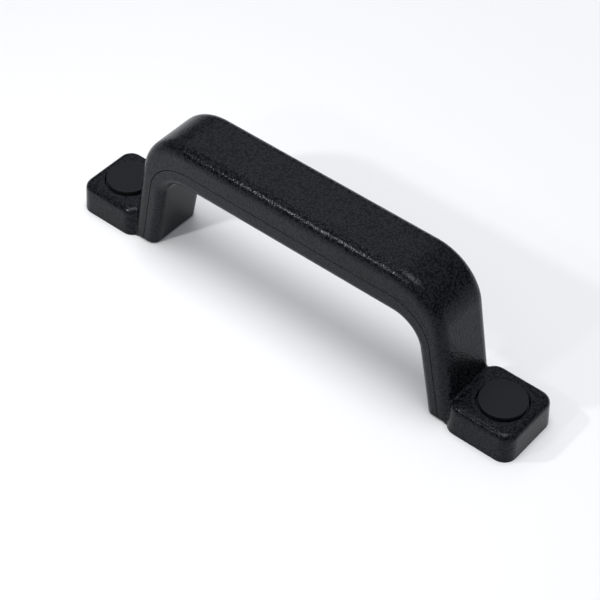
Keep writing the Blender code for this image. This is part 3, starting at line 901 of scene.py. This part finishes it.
# Where the lamps aim: points along the handle's front top edges
EDGE_Y = -10 * MM
EDGE_MIDDLE = (0, EDGE_Y, GRIP_HEIGHT)
EDGE_RIGHT_OF_MIDDLE = (8 * MM, EDGE_Y, GRIP_HEIGHT)
EDGE_NEAR_BEND = (40 * MM, EDGE_Y, GRIP_HEIGHT)
RIGHT_FOOT_EDGE = (SCREW_X, EDGE_Y, FOOT_HEIGHT)

# The surround: how bright it is along the horizon, on the walls and overhead, and where it changes
HORIZON = (0.80, 0.81, 0.83)
WALLS = (0.13, 0.135, 0.145)
CEILING = (0.46, 0.48, 0.53)
HORIZON_BAND = (0.04, 0.16)
WALL_BAND = (0.20, 0.85)
FLOOR_RADIUS = 6.0


def add_camera():
    """The camera looks down on the handle from the front right, turned a little about its own axis."""
    a, e, r = CAMERA_AZIMUTH, CAMERA_ELEVATION, CAMERA_ROLL
    back = Vector((math.sin(a) * math.cos(e), -math.cos(a) * math.cos(e), math.sin(e)))
    level = Vector((math.cos(a), math.sin(a), 0))
    upright = back.cross(level)
    right = level * math.cos(r) + upright * math.sin(r)
    up = upright * math.cos(r) - level * math.sin(r)
    slide = right * CAMERA_SLIDE[0] + up * CAMERA_SLIDE[1]
    spot = CAMERA_AIM + slide + back * CAMERA_DISTANCE
    data = bpy.data.cameras.new("camera")
    data.sensor_width = CAMERA_SENSOR
    data.lens = CAMERA_LENS
    data.clip_start = 10 * MM
    camera = bpy.data.objects.new("camera", data)
    turn = Matrix((right, up, back)).transposed().to_4x4()
    camera.matrix_world = Matrix.Translation(spot) @ turn
    bpy.context.scene.collection.objects.link(camera)
    bpy.context.scene.camera = camera


def facing(direction):
    """The turn that points a lamp's back towards direction, so that it shines the other way."""
    return Vector(direction).normalized().to_track_quat("Z", "Y").to_matrix().to_4x4()


def add_softbox(name, target, direction, distance, size, radiance, colour):
    """A rectangular lamp in the given direction from target, which it faces.

    radiance is how bright its surface looks.
    """
    data = bpy.data.lights.new(name, "AREA")
    data.shape = "RECTANGLE"
    data.size, data.size_y = size
    data.energy = radiance * math.pi * size[0] * size[1]
    data.color = colour
    lamp = bpy.data.objects.new(name, data)
    spot = Vector(target) + Vector(direction).normalized() * distance
    lamp.matrix_world = Matrix.Translation(spot) @ facing(direction)
    bpy.context.scene.collection.objects.link(lamp)


def add_sun(name, direction, strength, spread, colour):
    data = bpy.data.lights.new(name, "SUN")
    data.energy = strength
    data.angle = spread
    data.color = colour
    lamp = bpy.data.objects.new(name, data)
    lamp.matrix_world = facing(direction)
    bpy.context.scene.collection.objects.link(lamp)


def add_surround():
    """A plain studio: a pale band along the horizon, dim walls above it, and a lighter ceiling."""
    world = bpy.data.worlds.new("studio")
    world.use_nodes = True
    tree = world.node_tree
    background = tree.nodes["Background"]
    ways = tree.nodes.new("ShaderNodeTexCoord").outputs["Generated"]
    height = node(tree, "ShaderNodeSeparateXYZ", {0: ways}).outputs["Z"]
    up_the_walls = remap(tree, height, *WALL_BAND, kind="SMOOTHSTEP")
    above_horizon = remap(tree, height, *HORIZON_BAND, kind="SMOOTHSTEP")
    walls = blend_colours(tree, up_the_walls, WALLS, CEILING)
    feed(tree, background, Color=blend_colours(tree, above_horizon, HORIZON, walls))
    bpy.context.scene.world = world


def add_floor():
    bm = bmesh.new()
    bmesh.ops.create_circle(bm, cap_ends=True, segments=ROUND_STEPS, radius=FLOOR_RADIUS)
    floor = add_object("floor", bm)
    mat, tree, shader, coords = start_material("pale_floor", specular=0.1)
    cloud = noise(tree, coords, scale=8.0)
    feed(tree, shader, Base_Color=blend_colours(tree, cloud, (0.90, 0.90, 0.90), (0.92, 0.92, 0.92)))
    shader.inputs["Roughness"].default_value = 0.9
    floor.data.materials.append(mat)


def add_lamps():
    """Two small keys for the beaded highlights, two larger lamps for the top faces, and a soft sun."""
    add_softbox("key", EDGE_RIGHT_OF_MIDDLE, direction=(-0.4356, -0.66, 0.61), distance=0.24,
                size=(0.013, 0.013), radiance=370.0, colour=(1.0, 0.99, 0.97))
    add_softbox("side_key", RIGHT_FOOT_EDGE, direction=(-0.32, -0.68, 0.66), distance=0.30,
                size=(0.016, 0.016), radiance=90.0, colour=WHITE)
    add_softbox("back_strip", EDGE_NEAR_BEND, direction=(-0.41, 0.38, 0.83), distance=0.90,
                size=(0.12, 0.05), radiance=6.0, colour=(0.95, 0.97, 1.0))
    add_softbox("wall_card", EDGE_MIDDLE, direction=(-0.456, 0.594, 0.663), distance=1.00,
                size=(0.40, 0.40), radiance=0.64, colour=(0.92, 0.96, 1.0))
    add_sun("overhead", direction=(0, 0, 1), strength=1.7, spread=math.radians(34), colour=WHITE)


def add_studio():
    add_camera()
    add_surround()
    add_floor()
    add_lamps()
    settings = bpy.context.scene.view_settings
    settings.view_transform = "Standard"
    settings.look = "None"


# ---------------------------------------------------------------- the handle

def build():
    cover_moulding(grained_plastic("grained_black_cover", 0.21))
    insert_moulding(grained_plastic("grained_black_insert", 0.24))
    steel_strap(metal("oiled_strap_steel", (0.22, 0.22, 0.23), (0.34, 0.34, 0.35), 0.36, STREAKS_ALONG_X))
    cap_mat = cap_plastic("matt_black_cap")
    seat_mat = seat_plastic("black_seat")
    zinc = metal("zinc_plate", (0.52, 0.53, 0.52), (0.68, 0.68, 0.64), 0.28, STREAKS_ALONG_Z)
    spring = metal("dark_spring_steel", (0.16, 0.16, 0.17), (0.26, 0.26, 0.27), 0.34, STREAKS_ALONG_Z)
    black = metal("black_oxide_steel", (0.045, 0.045, 0.05), (0.075, 0.075, 0.08), 0.36, STREAKS_ALONG_Z)
    for side in ("left", "right"):
        screw_cap(side, cap_mat)
        cap_seat(side, seat_mat)
        plain_washer(side, zinc)
        lock_washer(side, spring)
        mounting_screw(side, zinc)
    for number in range(1, len(SHELL_SCREW_X) + 1):
        shell_screw(number, black)


build()
add_studio()
